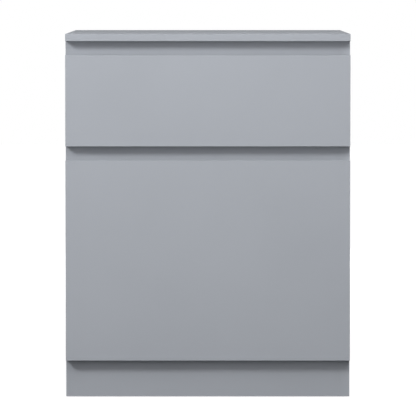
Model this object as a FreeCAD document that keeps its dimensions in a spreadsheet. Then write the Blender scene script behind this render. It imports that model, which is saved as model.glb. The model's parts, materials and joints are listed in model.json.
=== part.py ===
"""Bedside cabinet with two handleless drawers, in millimetres.

X runs across the cabinet, Y from the drawer fronts to the back, Z up from the floor.
The origin is on the floor, under the middle of the cabinet's overall box.

The carcass is two side panels joined by a base, three rails and two plinths, with a thin top screwed on
from below. Each drawer is a box on a pair of roller runners, and its full-width front lies over the
carcass. A finger goes down through the gap above a front, into the coved groove that is cut along the top
of its back face.

Every size is a cell of the sheet "Sizes". The set "Derived" holds what follows from them.
"""

import FreeCAD, Part
import math
import os
import re

import Sketcher

SIZES = {
    # overall
    "width": 395,
    "height": 507,
    "depth": 415,
    # carcass boards
    "board": 15,
    "top_thick": 10,
    "finger_gap": 19.5,
    "upper_front": 126.5,
    "floor_reveal": 53,
    "base_lap": 2,
    "upper_rail": 40,
    "rail_lap": 10,
    "rear_rail": 60,
    "back_thick": 3,
    "back_inset": 7.5,
    "groove_depth": 5,
    "groove_play": 0.2,
    "edge_round": 0.5,
    # cam locks, their bolts, and dowels
    "joint_inset": 40,
    "joint_pitch": 32,
    "rail_cam_rise": 13,
    "rail_dowel_drop": 10,
    "plinth_dowel_pitch": 28,
    "cam_radius": 7.5,
    "cam_length": 12,
    "cam_reach": 24,
    "bolt_radius": 2.5,
    "bolt_thread": 10,
    "bolt_head_radius": 3,
    "bolt_head": 3,
    "bolt_play": 0.5,
    "dowel_radius": 4,
    "dowel_length": 30,
    "dowel_seat": 10,
    "fit_play": 0.05,
    "end_play": 0.5,
    # blocks under the top and under the base
    "block_side": 20,
    "block_length": 32,
    "block_inset": 25,
    "block_screw_pitch": 14,
    "block_bite": 7.5,
    "plinth_block_side": 20,
    "plinth_block_length": 60,
    "plinth_block_pitch": 190,
    # screws
    "screw_radius": 1.75,
    "screw_head_radius": 3,
    "screw_head": 1.2,
    "screw_bite": 12,
    "back_screw_pitch": 240,
    # floor glides
    "glide_radius": 6.5,
    "glide_head": 1.5,
    "glide_stem_radius": 3,
    "glide_stem": 10,
    "glide_inset": 30,
    # drawer fronts
    "lip": 6,
    "pull_height": 18,
    "front_gap": 1,
    "bumper_play": 0.1,
    "bumper_radius": 4,
    "bumper_inset": 15,
    # drawer boxes
    "drawer_board": 12,
    "drawer_rear_gap": 24.5,
    "drawer_bottom": 3,
    "bottom_rise": 8,
    "upper_box_rise": 19,
    "upper_box_drop": 27.5,
    "lower_box_rise": 29,
    "lower_box_drop": 29.5,
    "upper_joint_pitch": 24,
    "lower_joint_inset": 28,
    "drawer_cam_length": 10,
    "drawer_dowel_radius": 3,
    "drawer_dowel_length": 22,
    "drawer_dowel_seat": 8,
    "bottom_screw_pitch": 160,
    "rail_screw_gap": 6.6,
    "box_edge_round": 3,
    # roller runners
    "runner_space": 12.5,
    "runner_metal": 1.2,
    "runner_setback": 2,
    "runner_overhang": 3,
    "track_drop": 2,
    "track_lip": 2,
    "track_gap": 0.7,
    "upper_track_width": 6.8,
    "track_play": 0.6,
    "flange_stand": 2.4,
    "flange_gap": 0.8,
    "flange_lip": 3,
    "under_flange": 11,
    "rear_roller_radius": 7.5,
    "roller_play": 0.2,
    "roller_clear": 1,
    "side_play": 0.1,
    "lip_play": 0.3,
    "axle_radius": 2.4,
    "axle_shoulder_radius": 4.2,
    "axle_head_radius": 3.8,
    "axle_head": 1,
    "axle_inset": 12,
    "roller_window": 3,
    "runner_screw_inset": 35,
    "runner_screw_pitch": 224,
    "drawer_screw_inset": 45,
    "drawer_screw_edge": 4,
    "stop_radius": 2,
    # between a runner's two rollers when the drawer is all the way out
    "rollers_apart": 46.5,
}

DERIVED = {
    # carcass
    "front_y": "-depth / 2",
    "rear_y": "depth / 2",
    "carcass_y": "front_y + board + front_gap",
    "side_depth": "rear_y - carcass_y",
    "back_y": "rear_y - back_inset - back_thick",
    "base_depth": "back_y - carcass_y",
    "inner_width": "width - 2 * board",
    "inner_x": "inner_width / 2",
    "side_x": "inner_x + board / 2",
    "top_z": "height - top_thick",
    "side_z": "glide_head",
    "side_height": "top_z - side_z",
    "base_z": "floor_reveal + base_lap",
    "plinth_height": "base_z - side_z",
    "upper_front_z": "top_z - finger_gap - upper_front",
    "upper_rail_z": "top_z - upper_rail",
    "middle_rail": "finger_gap + 2 * rail_lap",
    "middle_rail_z": "upper_front_z - finger_gap - rail_lap",
    "rear_rail_z": "top_z - rear_rail",
    "rail_back_y": "carcass_y + board",
    "rear_rail_y": "back_y - board",
    "back_reach": "inner_x + groove_depth - groove_play",
    # cam joints
    "tunnel_radius": "bolt_head_radius + bolt_play",
    "cam_mouth": "cam_radius + tunnel_radius",
    # corner blocks
    "front_block_y": "rail_back_y + block_inset",
    "rear_block_y": "rear_rail_y - block_inset",
    # drawer fronts and boxes
    "lower_front_z": "floor_reveal",
    "lower_front": "upper_front_z - finger_gap - floor_reveal",
    "cove": "board - lip",
    "bumper": "front_gap - bumper_play",
    "box_y": "front_y + board",
    "box_rear_y": "rear_rail_y - drawer_rear_gap",
    "drawer_length": "box_rear_y - box_y",
    "box_x": "inner_x - runner_space",
    "box_inner_x": "box_x - drawer_board",
    "box_side_x": "box_x - drawer_board / 2",
    "upper_box_z": "upper_front_z + upper_box_rise",
    "upper_box": "upper_front - upper_box_rise - upper_box_drop",
    "lower_box_z": "lower_front_z + lower_box_rise",
    "lower_box": "lower_front - lower_box_rise - lower_box_drop",
    "upper_joint_inset": "(upper_box - upper_joint_pitch) / 2",
    "bottom_reach": "groove_depth - groove_play",
    "bottom_top": "bottom_rise + drawer_bottom",
    # roller runners: "..._rise" is a height above a drawer box's lower edge
    "web_x": "inner_x - runner_metal",
    "runner_y": "carcass_y + runner_setback",
    "runner_length": "box_rear_y + runner_overhang - runner_y",
    "channel_rise": "2 * rear_roller_radius + track_play - track_drop",
    "screw_rise": "(channel_rise - track_drop) / 2",
    "flange_rise": "channel_rise + runner_metal + flange_stand",
    "front_roller_radius": "(flange_rise + track_drop - roller_play - roller_clear) / 2",
    "front_roller_y": "runner_y + axle_inset",
    "window_length": "axle_inset + front_roller_radius + roller_window",
    "front_roller_rise": "flange_rise - roller_play - front_roller_radius",
    "rear_roller_y": "box_rear_y - axle_inset",
    "rear_roller_rise": "rear_roller_radius + roller_play - track_drop",
    "rollers_meet": "front_roller_radius + rear_roller_radius",
    "travel": "rear_roller_y - front_roller_y - rollers_meet - rollers_apart",
    "back_screw_rise": "flange_rise + runner_metal + screw_head_radius + rail_screw_gap",
    "roller_standoff": "runner_metal + flange_gap + lip_play",
    "roller_width": "runner_space - 2 * (runner_metal + roller_standoff)",
    "roller_x": "box_x + runner_metal + roller_standoff",
    "track_width": "runner_space - 2 * runner_metal - track_gap",
    "flange_width": "runner_space - runner_metal - flange_gap",
    "stop_reach": "sqrt((rear_roller_radius + stop_radius)^2 - (rear_roller_radius + roller_play)^2)",
    "stop_y": "rear_roller_y - travel - roller_play - stop_reach",
}

RIGHT = FreeCAD.Vector(1, 0, 0)
BACK = FreeCAD.Vector(0, 1, 0)
UP = FreeCAD.Vector(0, 0, 1)
LEFT, FRONT, DOWN = -RIGHT, -BACK, -UP
HERE = ("0", "0", "0")

# the plane square to each axis, and which way a sketch on it faces along that axis
PLANE = {"X": "YZ_Plane", "Y": "XZ_Plane", "Z": "XY_Plane"}
FACES = {"X": 1, "Y": -1, "Z": 1}

# Small round pieces and their holes are many and mostly out of sight, so they are prisms of a few sides.
PIN_SIDES = 6
DISC_SIDES = 10
BORE_SIDES = 12
ROLLER_SIDES = 24

SCREWS_PER_RUNNER = 2
NEAR = 0.001  # how close an edge's middle lies to a face that it is on

doc = FreeCAD.newDocument("bedside_cabinet")
nodes = []  # the objects that are written out, one file each
blanks = {}  # pieces that still need their holes, by name
holes = {}  # the hole-shaped tools that each of them gets, by its name
corner = {}  # where each board's own lowest corner lies


# ---- sizes -----------------------------------------------------------------------------------------


def formula(text):
    """The text as a FreeCAD expression, with its owner put before each size and derived value."""

    def owned(match):
        word = match.group()
        owner = "Sizes." if word in SIZES else "Derived." if word in DERIVED else ""
        return owner + word

    return re.sub(r"[a-z][a-z_]*", owned, text)


def value(text):
    return float(doc.Derived.evalExpression(formula(text)))


def bind(item, prop, text):
    item.setExpression(prop, formula(text))


def make_sizes():
    sheet = doc.addObject("Spreadsheet::Sheet", "Sizes")
    for row, (alias, size) in enumerate(SIZES.items(), start=1):
        sheet.set(f"A{row}", alias.replace("_", " "))
        sheet.set(f"B{row}", str(size))
        sheet.setAlias(f"B{row}", alias)
    doc.recompute()
    derived = doc.addObject("App::VarSet", "Derived")
    for name in DERIVED:
        derived.addProperty("App::PropertyFloat", name, "Derived")
    for name, text in DERIVED.items():
        bind(derived, name, text)
    doc.recompute()


# ---- sketches --------------------------------------------------------------------------------------


def pin(sketch, shape, point, x=None, y=None):
    """Holds a point of a sketched shape at x, at y or at both, from the sketch's origin."""
    for axis, kind, text in ((-2, "DistanceX", x), (-1, "DistanceY", y)):
        if text == "0":
            sketch.addConstraint(Sketcher.Constraint("PointOnObject", shape, point, axis))
        elif text is not None:
            number = sketch.addConstraint(Sketcher.Constraint(kind, -1, 1, shape, point, value(text)))
            bind(sketch, f"Constraints[{number}]", text)


def path(sketch, corners, closed):
    """Straight lines from corner to corner, each corner held at its own (x, y)."""
    spots = [FreeCAD.Vector(value(x), value(y), 0) for x, y in corners]
    count = len(corners) if closed else len(corners) - 1
    for i in range(count):
        sketch.addGeometry(Part.LineSegment(spots[i], spots[(i + 1) % len(corners)]))
        pin(sketch, i, 1, *corners[i])
    for i in range(count if closed else count - 1):
        sketch.addConstraint(Sketcher.Constraint("Coincident", i, 2, (i + 1) % count, 1))
    if not closed:
        pin(sketch, count - 1, 2, *corners[-1])


def rectangle(sketch, x0, y0, x1, y1):
    """A rectangle between two opposite corners."""
    left, low, right, high = (value(text) for text in (x0, y0, x1, y1))
    spots = [FreeCAD.Vector(x, y, 0) for x, y in ((left, low), (right, low), (right, high), (left, high))]
    for i in range(4):
        sketch.addGeometry(Part.LineSegment(spots[i], spots[(i + 1) % 4]))
    for i in range(4):
        sketch.addConstraint(Sketcher.Constraint("Coincident", i, 2, (i + 1) % 4, 1))
        sketch.addConstraint(Sketcher.Constraint("Vertical" if i % 2 else "Horizontal", i))
    pin(sketch, 0, 1, x0, y0)
    pin(sketch, 2, 1, x1, y1)


def sketch_in(body, axis, name, level="0"):
    """A sketch square to one of the body's own axes, at `level` along it."""
    sketch = body.newObject("Sketcher::SketchObject", f"{body.Name}_{name}_sketch")
    plane = next(f for f in body.Origin.OriginFeatures if f.Role == PLANE[axis])
    sketch.AttachmentSupport = (plane, [""])
    sketch.MapMode = "FlatFace"
    bind(sketch, "AttachmentOffset.Base.z", f"{FACES[axis]} * ({level})")
    return sketch


# ---- ways of making a piece ------------------------------------------------------------------------


def facing(points, faces=None):
    """The turn that takes the Z axis to `points`, and the X axis to `faces` where that matters."""
    if faces is None:
        return FreeCAD.Rotation(UP, points)
    return FreeCAD.Rotation(faces, points.cross(faces), points, "ZXY")


def place(item, at, turn=None):
    if turn is not None:
        item.Placement = FreeCAD.Placement(FreeCAD.Vector(), turn)
    for axis, text in zip("xyz", at):
        bind(item, f"Placement.Base.{axis}", text)


def keep(item, label):
    """Names a finished piece and lists it for writing out."""
    item.Label = label
    nodes.append(item)


def blank(label, size, at):
    """A board along the axes, drawn from its own lowest corner, which lies at `at`."""
    body = doc.addObject("PartDesign::Body", f"{label}_blank")
    sketch = sketch_in(body, "Z", "outline")
    rectangle(sketch, "0", "0", size[0], size[1])
    pad = body.newObject("PartDesign::Pad", f"{label}_pad")
    pad.Profile = sketch
    bind(pad, "Length", size[2])
    place(body, at)
    blanks[label] = body
    corner[label] = at
    doc.recompute()
    return body


def groove(label, name, axis, level, towards, opening):
    """Cuts a groove_depth deep groove into a board from `level`, towards +1 or -1 along the axis. Its
    opening is given by two opposite corners, in the cabinet's frame."""
    body = blanks[label]
    x, y, z = corner[label]
    start, across, up = {"X": (x, y, z), "Y": (y, x, z)}[axis]
    before = body.Shape.Volume
    sketch = sketch_in(body, axis, name, f"{level} - ({start})")
    left, low, right, high = opening
    rectangle(
        sketch, f"{left} - ({across})", f"{low} - ({up})", f"{right} - ({across})", f"{high} - ({up})"
    )
    pocket = body.newObject("PartDesign::Pocket", f"{body.Name}_{name}")
    pocket.Profile = sketch
    pocket.Reversed = towards * FACES[axis] > 0
    bind(pocket, "Length", "groove_depth")
    doc.recompute()
    if body.Shape.Volume >= before:
        raise RuntimeError(f"{pocket.Name} cuts nothing")


def dress(body, radius, wanted):
    """Rounds the edges of the body that `wanted` picks by their middle, in the body's own frame."""
    tip = body.Tip
    edges = [f"Edge{i}" for i, e in enumerate(tip.Shape.Edges, start=1) if wanted(e.CenterOfMass)]
    fillet = body.newObject("PartDesign::Fillet", f"{body.Name}_round")
    fillet.Base = (tip, edges)
    bind(fillet, "Radius", radius)
    doc.recompute()


def folded(name, corners, length, at_y, at_z):
    """A strip of runner metal, which lies to the right of a path of (x, height) corners."""
    sketch = doc.addObject("Sketcher::SketchObject", f"{name}_path")
    path(sketch, corners, closed=False)
    sketch.Placement = FreeCAD.Placement(FreeCAD.Vector(), FreeCAD.Rotation(RIGHT, 90))
    section = doc.addObject("Part::Offset2D", f"{name}_section")
    section.Source = sketch
    section.Mode = "Skin"
    section.Fill = True
    bind(section, "Value", "-runner_metal")
    strip = doc.addObject("Part::Extrusion", name)
    strip.Base = section
    strip.DirMode = "Custom"
    strip.Dir = BACK
    strip.Solid = True
    bind(strip, "LengthFwd", length)
    place(strip, ("0", at_y, at_z))
    return strip


def rod(name, radius, length, at=HERE, points=UP, faces=None, angle=360):
    """A round bar from `at` towards `points`."""
    cylinder = doc.addObject("Part::Cylinder", name)
    cylinder.Angle = angle
    bind(cylinder, "Radius", radius)
    bind(cylinder, "Height", length)
    place(cylinder, at, facing(points, faces))
    return cylinder


def prism(name, sides, radius, length, at=HERE, points=UP):
    """A bar with a few flat sides, from `at` towards `points`."""
    bar = doc.addObject("Part::Prism", name)
    bar.Polygon = sides
    bind(bar, "Circumradius", radius)
    bind(bar, "Height", length)
    place(bar, at, facing(points))
    return bar


def block(name, size, at):
    """A plain block with its lowest corner at `at`."""
    box = doc.addObject("Part::Box", name)
    for prop, text in zip(("Length", "Width", "Height"), size):
        bind(box, prop, text)
    place(box, at)
    return box


def fused(name, pieces):
    whole = doc.addObject("Part::MultiFuse", name)
    whole.Shapes = pieces
    return whole


def without(name, base, tool):
    rest = doc.addObject("Part::Cut", name)
    rest.Base = base
    rest.Tool = tool
    return rest


def grouped(name, pieces):
    group = doc.addObject("Part::Compound", name)
    group.Links = pieces
    return group


def mirrored(name, source):
    mirror = doc.addObject("Part::Mirroring", name)
    mirror.Source = source
    mirror.Normal = RIGHT
    return mirror


def both_sides(name, right_hand):
    """The right-hand pieces and their mirror images, as one group."""
    half = grouped(f"{name}_right", right_hand)
    return grouped(name, [half, mirrored(f"{name}_left", half)])


def copy(name, pattern, at, points=UP, faces=None):
    link = doc.addObject("App::Link", name)
    link.LinkedObject = pattern
    link.LinkTransform = True
    place(link, at, facing(points, faces))
    return link


def fit(name, fastener, hole, spots, pieces):
    """Copies of a fastener at the right-hand spots. The named pieces get its holes, on both sides.

    A spot is the point where the fastener's origin goes, the way that its Z axis points and, where that
    matters, the way that its X axis faces."""
    tools = [copy(f"{name}_hole_{i}", hole, *spot) for i, spot in enumerate(spots)]
    tool = both_sides(f"{name}_holes", tools)
    for piece in pieces:
        holes.setdefault(piece, []).append(tool)
    return [copy(f"{name}_{i}", fastener, *spot) for i, spot in enumerate(spots)]


def finish_blanks():
    """Bores each piece, and keeps it under its name. A right-hand piece also gets a left-hand twin."""
    for label, piece in blanks.items():
        if label in holes:
            piece = without(label, piece, grouped(f"{label}_holes", holes[label]))
        keep(piece, label)
        if label.endswith("_right"):
            twin = label.replace("_right", "_left")
            keep(mirrored(twin, piece), twin)


# ---- fasteners, each with the shape of its hole ----------------------------------------------------


def screw(name, grip, bite):
    """A pan-head screw: its head lies on height 0, and it bites below the `grip` that it holds down."""
    length = f"{grip} + {bite}"
    shank = prism(f"{name}_shank", PIN_SIDES, "screw_radius", length, ("0", "0", f"-({length})"))
    head = prism(f"{name}_head", PIN_SIDES, "screw_head_radius", "screw_head")
    deep = f"{length} + end_play"
    hole = prism(f"{name}_hole", PIN_SIDES, "screw_radius + fit_play", deep, ("0", "0", f"-({deep})"))
    return fused(name, [shank, head]), hole


def flush_screw(name):
    """A screw whose head fills a hole in runner metal and ends level with it, at height 0."""
    length = "runner_metal + screw_bite"
    sunk = ("0", "0", "-runner_metal")
    shank = prism(f"{name}_shank", PIN_SIDES, "screw_radius", length, ("0", "0", f"-({length})"))
    head = prism(f"{name}_head", PIN_SIDES, "screw_head_radius", "runner_metal", sunk)
    deep = f"{length} + end_play"
    bore = prism(f"{name}_bore", PIN_SIDES, "screw_radius + fit_play", deep, ("0", "0", f"-({deep})"))
    seat = prism(f"{name}_seat", PIN_SIDES, "screw_head_radius + fit_play", "runner_metal", sunk)
    return fused(name, [shank, head]), fused(f"{name}_hole", [bore, seat])


def dowel(name, radius, length, seat):
    """A dowel that goes `seat` deep into the piece below height 0, and the rest into the one above."""
    pin_piece = prism(name, PIN_SIDES, radius, length, ("0", "0", f"-{seat}"))
    bottom = ("0", "0", f"-{seat} - end_play")
    hole = prism(f"{name}_hole", PIN_SIDES, f"{radius} + fit_play", f"{length} + 2 * end_play", bottom)
    return pin_piece, hole


def cam_joint(name, board, length):
    """A cam lock and the bolt that it pulls on. The bolt is threaded into the piece below height 0, and
    runs up the middle of a board of thickness `board`. The cam ends level with that board's +X face."""
    reach = "cam_reach - bolt_head / 2"
    shank_at = ("0", "0", "-bolt_thread")
    shank = prism(f"{name}_shank", PIN_SIDES, "bolt_radius", f"bolt_thread + {reach}", shank_at)
    head = prism(f"{name}_head", PIN_SIDES, "bolt_head_radius", "bolt_head", ("0", "0", reach))
    bolt = fused(f"{name}_bolt", [shank, head])

    drum_at = (f"{board} / 2 - {length}", "0", "cam_reach")
    drum = prism(f"{name}_drum", DISC_SIDES, "cam_radius - fit_play", length, drum_at, RIGHT)
    mouth_at = ("0", "0", "cam_reach - cam_radius")
    mouth = prism(f"{name}_mouth", PIN_SIDES, "tunnel_radius", "cam_mouth", mouth_at)
    cam = without(f"{name}_cam", drum, mouth)

    deep = "bolt_thread + end_play"
    thread_at = ("0", "0", f"-({deep})")
    thread = prism(f"{name}_thread", PIN_SIDES, "bolt_radius + fit_play", deep, thread_at)
    tunnel = prism(f"{name}_tunnel", PIN_SIDES, "tunnel_radius", "cam_reach")
    pocket_at = (f"{board} / 2 - {length} - end_play", "0", "cam_reach")
    pocket = prism(f"{name}_pocket", DISC_SIDES, "cam_radius", f"{length} + end_play", pocket_at, RIGHT)
    return cam, bolt, fused(f"{name}_hole", [thread, tunnel, pocket])


# ---- carcass ---------------------------------------------------------------------------------------

BASE_MIDDLE = "base_z + board / 2"
FRONT_MIDDLE = "carcass_y + board / 2"
REAR_MIDDLE = "back_y - board / 2"
BLOCK_ROWS = ("front_block_y", "rear_block_y")


def make_boards():
    at, wide = "-inner_x", "inner_width"
    blank("side_panel_right", ("board", "side_depth", "side_height"), ("inner_x", "carcass_y", "side_z"))
    opening = ("back_y - groove_play / 2", "side_z", "back_y + back_thick + groove_play / 2", "top_z")
    groove("side_panel_right", "back_groove", "X", "inner_x", 1, opening)

    blank("base_panel", (wide, "base_depth", "board"), (at, "carcass_y", "base_z"))
    blank("plinth_front", (wide, "board", "plinth_height"), (at, "carcass_y", "side_z"))
    blank("plinth_rear", (wide, "board", "plinth_height"), (at, "rear_rail_y", "side_z"))
    blank("finger_rail_upper", (wide, "board", "upper_rail"), (at, "carcass_y", "upper_rail_z"))
    blank("finger_rail_middle", (wide, "board", "middle_rail"), (at, "carcass_y", "middle_rail_z"))
    blank("rear_rail", (wide, "board", "rear_rail"), (at, "rear_rail_y", "rear_rail_z"))
    size = ("2 * back_reach", "back_thick", "top_z - base_z")
    blank("back_panel", size, ("-back_reach", "back_y", "base_z"))

    top = blank("top_panel", ("width", "depth", "top_thick"), ("-width / 2", "front_y", "top_z"))
    upper_face = value("top_thick")
    dress(top, "edge_round", lambda middle: middle.z > upper_face - NEAR)


def join_carcass():
    """Cams, bolts and dowels between the side panels and the boards across. Each rail has one cam and one
    dowel at an end, the base two of each, and each plinth two dowels."""
    front, rear = "carcass_y + joint_inset", "back_y - joint_inset"
    rails = {
        "finger_rail_upper": (FRONT_MIDDLE, "upper_rail_z", "upper_rail", BACK),
        "finger_rail_middle": (FRONT_MIDDLE, "middle_rail_z", "middle_rail", BACK),
        "rear_rail": (REAR_MIDDLE, "rear_rail_z", "rear_rail", FRONT),
    }
    cams = [(("inner_x", y, BASE_MIDDLE), LEFT, DOWN) for y in (front, rear)]
    beside = (f"{front} + joint_pitch", f"{rear} - joint_pitch")
    dowels = [(("inner_x", y, BASE_MIDDLE), LEFT) for y in beside]
    for y, z, tall, faces in rails.values():
        cams.append((("inner_x", y, f"{z} + rail_cam_rise"), LEFT, faces))
        dowels.append((("inner_x", y, f"{z} + {tall} - rail_dowel_drop"), LEFT))
    for y in (FRONT_MIDDLE, REAR_MIDDLE):
        for sign in "+-":
            z = f"side_z + plinth_height / 2 {sign} plinth_dowel_pitch / 2"
            dowels.append((("inner_x", y, z), LEFT))

    joined = ["side_panel_right", "base_panel", *rails]
    cam, bolt, hole = cam_joint("carcass", "board", "cam_length")
    bolts = fit("carcass_bolt", bolt, hole, cams, joined)
    locks = [copy(f"carcass_lock_{i}", cam, *spot) for i, spot in enumerate(cams)]
    keep(both_sides("carcass_bolts", bolts), "carcass_cam_bolts")
    keep(both_sides("carcass_locks", locks), "carcass_cam_locks")
    peg = dowel("carcass_peg", "dowel_radius", "dowel_length", "dowel_seat")
    pins = fit("carcass_pin", *peg, dowels, [*joined, "plinth_front", "plinth_rear"])
    keep(both_sides("carcass_pins", pins), "carcass_dowels")


def fix_top():
    """Plastic corner blocks that hold the top down onto the side panels, with a screw up and a screw out."""
    size = ("block_side", "block_length", "block_side")
    left, low = "inner_x - block_side", "top_z - block_side"
    blocks = [block(f"corner_{row}", size, (left, f"{row} - block_length / 2", low)) for row in BLOCK_ROWS]
    blanks["top_fixing_blocks"] = both_sides("corner_blocks", blocks)
    half, aside = "block_side / 2", "block_screw_pitch / 2"
    up = [((f"{left} + {half}", f"{row} - {aside}", low), DOWN) for row in BLOCK_ROWS]
    out = [((left, f"{row} + {aside}", f"{low} + {half}"), LEFT) for row in BLOCK_ROWS]
    fixing = screw("block_screw", "block_side", "block_bite")
    pieces = fit("top_screw", *fixing, up, ["top_fixing_blocks", "top_panel"])
    pieces += fit("side_screw", *fixing, out, ["top_fixing_blocks", "side_panel_right"])
    keep(both_sides("block_screws", pieces), "top_fixing_screws")


def fix_back():
    """The back panel slides down the side panels' grooves, and is screwed to the base and the rear rail."""
    rows = {"base_panel": BASE_MIDDLE, "rear_rail": "rear_rail_z + rear_rail / 2"}
    spots = [(("back_screw_pitch / 2", "back_y + back_thick", z), BACK) for z in rows.values()]
    fixing = screw("panel_screw", "back_thick", "screw_bite")
    pieces = fit("back_screw", *fixing, spots, ["back_panel", *rows])
    keep(both_sides("back_screws", pieces), "back_panel_screws")


def make_plinth_blocks():
    """Blocks glued behind the front plinth, under the base."""
    side = "plinth_block_side"
    at = ("(plinth_block_pitch - plinth_block_length) / 2", "rail_back_y", f"base_z - {side}")
    glued = block("plinth_block", ("plinth_block_length", side, side), at)
    keep(both_sides("glued_blocks", [glued]), "plinth_blocks")


def make_glides():
    """Nail-in glides under the side panels."""
    head = prism("glide_head", DISC_SIDES, "glide_radius", "glide_head", ("0", "0", "-glide_head"))
    stem = prism("glide_stem", PIN_SIDES, "glide_stem_radius", "glide_stem")
    hole = prism("glide_hole", PIN_SIDES, "glide_stem_radius + fit_play", "glide_stem + end_play")
    spots = [(("side_x", y, "side_z"), UP) for y in ("carcass_y + glide_inset", "rear_y - glide_inset")]
    pieces = fit("glide", fused("glide_pattern", [head, stem]), hole, spots, ["side_panel_right"])
    keep(both_sides("glides", pieces), "floor_glides")


# ---- roller runners --------------------------------------------------------------------------------


def axle(name, at, points):
    """A riveted axle: a shoulder off the runner's web, the journal, and a head that keeps the roller on."""
    near = "roller_standoff - side_play"
    far = "roller_standoff + roller_width + side_play"
    rooted = ("0", "0", "-runner_metal / 2")
    parts = [
        prism(f"{name}_shoulder", BORE_SIDES, "axle_shoulder_radius", f"{near} + runner_metal / 2", rooted),
        prism(f"{name}_journal", BORE_SIDES, "axle_radius", far),
        prism(f"{name}_head", BORE_SIDES, "axle_head_radius", "axle_head", ("0", "0", far)),
    ]
    return copy(f"{name}_placed", fused(name, parts), at, points)


def make_roller(name, radius, y, z):
    """A roller, whose bore clears its axle by at least fit_play however it is turned."""
    at = ("roller_x", y, z)
    tyre = prism(f"{name}_tyre", ROLLER_SIDES, radius, "roller_width", at, RIGHT)
    bore_radius = f"(axle_radius + fit_play) / cos(180 / {BORE_SIDES})"
    bore = prism(f"{name}_bore", BORE_SIDES, bore_radius, "roller_width", at, RIGHT)
    blanks[f"{name}_right"] = without(f"{name}_ring", tyre, bore)


def make_cabinet_runner(level, box_z):
    """The fixed channel: the drawer's rear roller runs in it, and its own roller carries the drawer."""
    name = f"{level}_cabinet_runner"
    lip_x = "web_x - track_width + runner_metal"
    section = [
        (lip_x, "track_lip - track_drop"),
        (lip_x, "-track_drop"),
        ("web_x", "-track_drop"),
        ("web_x", "channel_rise"),
        ("web_x - upper_track_width", "channel_rise"),
    ]
    strip = folded(f"{name}_strip", section, "runner_length", "runner_y", box_z)
    roller_z = f"{box_z} + front_roller_rise"
    pivot = axle(f"{name}_axle", ("web_x", "front_roller_y", roller_z), LEFT)
    stop_at = ("roller_x", "stop_y", f"{box_z} - track_drop")
    stop = rod(f"{name}_stop", "stop_radius", "web_x - roller_x", stop_at, RIGHT, BACK, angle=180)
    window = block(
        f"{name}_window",
        ("runner_space - runner_metal", "window_length", "runner_metal + end_play"),
        ("box_x", "runner_y", f"{box_z} + channel_rise"),
    )
    blanks[f"{name}_right"] = without(f"{name}_open", fused(f"{name}_joined", [strip, pivot, stop]), window)
    make_roller(f"{level}_cabinet_roller", "front_roller_radius", "front_roller_y", roller_z)


def make_drawer_runner(level, box_z):
    """The moving rail: it lies under a drawer side, rides on the front roller and carries the rear one."""
    name = f"{level}_drawer_runner"
    top = "flange_rise + runner_metal"
    section = [
        ("box_x - under_flange", "0"),
        ("box_x", "0"),
        ("box_x", top),
        ("box_x + flange_width", top),
        ("box_x + flange_width", f"{top} - flange_lip"),
    ]
    strip = folded(f"{name}_strip", section, "drawer_length", "box_y", box_z)
    roller_z = f"{box_z} + rear_roller_rise"
    pivot = axle(f"{name}_axle", ("box_x + runner_metal", "rear_roller_y", roller_z), RIGHT)
    blanks[f"{name}_right"] = fused(f"{name}_joined", [strip, pivot])
    make_roller(f"{level}_drawer_roller", "rear_roller_radius", "rear_roller_y", roller_z)


def screw_cabinet_runners(box_levels):
    fixing = flush_screw("runner_screw")
    first = "runner_y + runner_screw_inset"
    rows = [f"{first} + {i} * runner_screw_pitch" for i in range(SCREWS_PER_RUNNER)]
    pieces = []
    for level, box_z in box_levels.items():
        spots = [(("web_x", y, f"{box_z} + screw_rise"), LEFT) for y in rows]
        name = f"{level}_cabinet_runner"
        pieces += fit(f"{name}_screw", *fixing, spots, [f"{name}_right", "side_panel_right"])
    keep(both_sides("runner_screws", pieces), "cabinet_runner_screws")


# ---- drawers ---------------------------------------------------------------------------------------


def front_blank(label, tall, z, groove_z, groove_top):
    """A full-width front, drawn from its end: its lip is what is left in front of the finger groove."""
    body = doc.addObject("PartDesign::Body", f"{label}_blank")
    sketch = sketch_in(body, "X", "end")
    shelf = f"{tall} - pull_height"
    corners = [
        ("lip", f"{shelf} + cove"),
        ("lip", tall),
        ("0", tall),
        ("0", "0"),
        ("board", "0"),
        ("board", shelf),
    ]
    path(sketch, corners, closed=False)
    middle = FreeCAD.Vector(value("board"), value(f"{shelf} + cove"), 0)
    cove = Part.ArcOfCircle(Part.Circle(middle, UP, value("cove")), math.pi, 1.5 * math.pi)
    arc = sketch.addGeometry(cove)
    sketch.addConstraint(Sketcher.Constraint("Coincident", arc, 1, 0, 1))
    sketch.addConstraint(Sketcher.Constraint("Coincident", arc, 2, arc - 1, 2))
    pin(sketch, arc, 3, x="board")
    pad = body.newObject("PartDesign::Pad", f"{label}_pad")
    pad.Profile = sketch
    bind(pad, "Length", "width")
    place(body, ("-width / 2", "front_y", z))
    blanks[label] = body
    corner[label] = ("-width / 2", "front_y", z)
    doc.recompute()
    dress(body, "edge_round", lambda middle: middle.y < NEAR)
    opening = ("-box_inner_x - groove_depth", groove_z, "box_inner_x + groove_depth", groove_top)
    groove(label, "bottom_groove", "Y", "box_y", -1, opening)


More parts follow.
